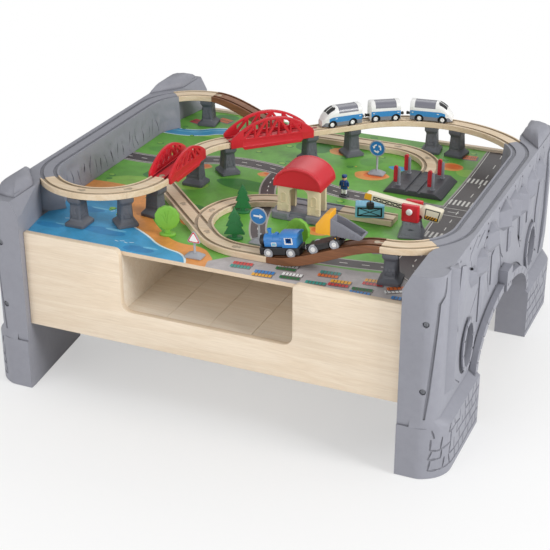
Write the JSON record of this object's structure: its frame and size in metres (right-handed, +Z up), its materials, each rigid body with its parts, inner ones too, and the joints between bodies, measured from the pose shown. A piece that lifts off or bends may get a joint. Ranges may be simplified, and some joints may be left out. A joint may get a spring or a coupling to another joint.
{
  "type": "railway play table",
  "caption": "Children's railway play table: wooden storage box with a printed board between moulded arched end walls, carrying a two-level wooden railway with bridges and trains.",
  "frame": {"origin": "on the floor, under the middle of the table", "axes": "+X along the front panel to the right, +Y from the front to the back, +Z up"},
  "size_m": [0.938, 0.82, 0.445],
  "materials": {
    "wall_grey": "fine moulded texture",
    "birch_panel": "clear satin lacquer",
    "board_print": "printed, satin",
    "track_beech": "bare sanded wood",
    "ramp_brown": "satin",
    "bridge_red": "satin",
    "pier_grey": "stone texture",
    "station_grey": "stone texture",
    "hall_red": "satin",
    "crane_grey": "satin",
    "cab_red": "satin",
    "jib_cream": "satin",
    "knob_white": "gloss",
    "black_plastic": "satin",
    "container_blue": "satin",
    "gate_red": "satin",
    "sign_grey": "satin",
    "tree_green": "stained",
    "bush_green": "satin",
    "figure_blue": "satin",
    "express_blue": "gloss",
    "wheel_black": "satin",
    "wheel_silver": "satin silver",
    "loco_blue": "gloss",
    "chassis_black": "satin",
    "tub_grey": "satin"
  },
  "bodies": {
    "table": {"left_end_wall": "wall_grey", "right_end_wall": "wall_grey", "front_panel": "birch_panel", "back_panel": "birch_panel", "play_board": "board_print", "storage_floor": "birch_panel", "storage_side_left": "birch_panel", "storage_side_right": "birch_panel", "upper_front_curve": "track_beech", "upper_middle_curve": "track_beech", "upper_back_curve": "track_beech", "upper_right_curve": "track_beech", "express_track": "track_beech", "bridge_front": "bridge_red", "bridge_middle": "bridge_red", "ramp_front": "ramp_brown", "ramp_back": "ramp_brown", "front_track": "track_beech", "switch_track": "track_beech", "branch_track": "track_beech", "yard_track": "track_beech", "back_track": "track_beech", "crossing_platform": "pier_grey", "station_base": "station_grey", "station_hall": "hall_red", "crane_tower": "crane_grey", "container": "container_blue", "sign_arrow": "sign_grey", "sign_back": "sign_grey", "sign_warning": "sign_grey", "tree_round": "bush_green", "bush": "bush_green", "fir_small": "tree_green", "fir_tall": "tree_green", "figure": "figure_blue", "express_lead": "express_blue", "express_middle": "express_blue", "express_tail": "express_blue", "loco_chassis": "chassis_black", "loco_body": "loco_blue", "wagon_chassis": "chassis_black"},
    "express_lead_wheels_front": {"express_lead_wheels_front": "wheel_black"},
    "express_lead_wheels_rear": {"express_lead_wheels_rear": "wheel_black"},
    "express_middle_wheels_front": {"express_middle_wheels_front": "wheel_black"},
    "express_middle_wheels_rear": {"express_middle_wheels_rear": "wheel_black"},
    "express_tail_wheels_front": {"express_tail_wheels_front": "wheel_black"},
    "express_tail_wheels_rear": {"express_tail_wheels_rear": "wheel_black"},
    "loco_wheels_front": {"loco_wheels_front": "wheel_silver"},
    "loco_wheels_rear": {"loco_wheels_rear": "wheel_silver"},
    "wagon_wheels_front": {"wagon_wheels_front": "wheel_silver"},
    "wagon_wheels_rear": {"wagon_wheels_rear": "wheel_silver"},
    "cab": {"crane_cab": "cab_red"},
    "jib": {"crane_jib": "jib_cream"},
    "winch_knob": {"crane_knob": "knob_white"},
    "hook": {"crane_hook": "black_plastic"},
    "tub": {"tipper_tub": "tub_grey"},
    "gate_front_left": {"gate_front_left": "gate_red"},
    "gate_front_right": {"gate_front_right": "gate_red"},
    "gate_back_left": {"gate_back_left": "gate_red"},
    "gate_back_right": {"gate_back_right": "gate_red"}
  },
  "joints": [
    {"name": "express_lead_wheels_front_spin", "type": "hinge", "parent": "table", "child": "express_lead_wheels_front", "pos_m": [0.0387, 0.24775, 0.4053], "axis": [-0.7071, 0.7071, 0], "continuous": true},
    {"name": "express_lead_wheels_rear_spin", "type": "hinge", "parent": "table", "child": "express_lead_wheels_rear", "pos_m": [0.00547, 0.21452, 0.4053], "axis": [-0.7071, 0.7071, 0], "continuous": true},
    {"name": "express_middle_wheels_front_spin", "type": "hinge", "parent": "table", "child": "express_middle_wheels_front", "pos_m": [0.11666, 0.31118, 0.4053], "axis": [-0.5496, 0.8354, 0], "continuous": true},
    {"name": "express_middle_wheels_rear_spin", "type": "hinge", "parent": "table", "child": "express_middle_wheels_rear", "pos_m": [0.07995, 0.28704, 0.4053], "axis": [-0.5496, 0.8354, 0], "continuous": true},
    {"name": "express_tail_wheels_front_spin", "type": "hinge", "parent": "table", "child": "express_tail_wheels_front", "pos_m": [0.21971, 0.3383, 0.4053], "axis": [-0.1337, 0.991, 0], "continuous": true},
    {"name": "express_tail_wheels_rear_spin", "type": "hinge", "parent": "table", "child": "express_tail_wheels_rear", "pos_m": [0.17025, 0.33162, 0.4053], "axis": [-0.1337, 0.991, 0], "continuous": true},
    {"name": "loco_wheels_front_spin", "type": "hinge", "parent": "table", "child": "loco_wheels_front", "pos_m": [0.09544, -0.304, 0.34523], "axis": [0, 1, 0], "continuous": true},
    {"name": "loco_wheels_rear_spin", "type": "hinge", "parent": "table", "child": "loco_wheels_rear", "pos_m": [0.13944, -0.304, 0.35274], "axis": [0, 1, 0], "continuous": true},
    {"name": "wagon_wheels_front_spin", "type": "hinge", "parent": "table", "child": "wagon_wheels_front", "pos_m": [0.18246, -0.304, 0.36839], "axis": [0, 1, 0], "continuous": true},
    {"name": "wagon_wheels_rear_spin", "type": "hinge", "parent": "table", "child": "wagon_wheels_rear", "pos_m": [0.22246, -0.304, 0.38483], "axis": [0, 1, 0], "continuous": true},
    {"name": "crane_slew", "type": "hinge", "parent": "table", "child": "cab", "pos_m": [0.296, -0.1, 0.3593], "axis": [0, 0, 1], "continuous": true},
    {"name": "jib_luff", "type": "hinge", "parent": "cab", "child": "jib", "pos_m": [0.296, -0.1, 0.381], "axis": [0, 1, 0], "range_deg": [-13, 5]},
    {"name": "winch_turn", "type": "hinge", "parent": "cab", "child": "winch_knob", "pos_m": [0.296, -0.1, 0.381], "axis": [0, 1, 0], "range_deg": [0, 180]},
    {"name": "hook_travel", "type": "slide", "parent": "jib", "child": "hook", "axis": [0, 0, 1], "range_m": [-0.0097, 0]},
    {"name": "tub_tip", "type": "hinge", "parent": "table", "child": "tub", "pos_m": [0.22557, -0.304, 0.3993], "axis": [0, 1, 0], "range_deg": [-21, 3]},
    {"name": "gate_front_left_hinge", "type": "hinge", "parent": "table", "child": "gate_front_left", "pos_m": [0.196, 0.0982, 0.349], "axis": [1, 0, 0], "range_deg": [-88, 0]},
    {"name": "gate_front_right_hinge", "type": "hinge", "parent": "table", "child": "gate_front_right", "pos_m": [0.268, 0.0982, 0.349], "axis": [1, 0, 0], "range_deg": [-88, 0]},
    {"name": "gate_back_left_hinge", "type": "hinge", "parent": "table", "child": "gate_back_left", "pos_m": [0.196, 0.1662, 0.349], "axis": [1, 0, 0], "range_deg": [0, 88]},
    {"name": "gate_back_right_hinge", "type": "hinge", "parent": "table", "child": "gate_back_right", "pos_m": [0.268, 0.1662, 0.349], "axis": [1, 0, 0], "range_deg": [0, 88]}
  ],
  "couplings": [
    {"joint": "winch_turn", "follows": "hook_travel", "rad_per_m": -323}
  ]
}
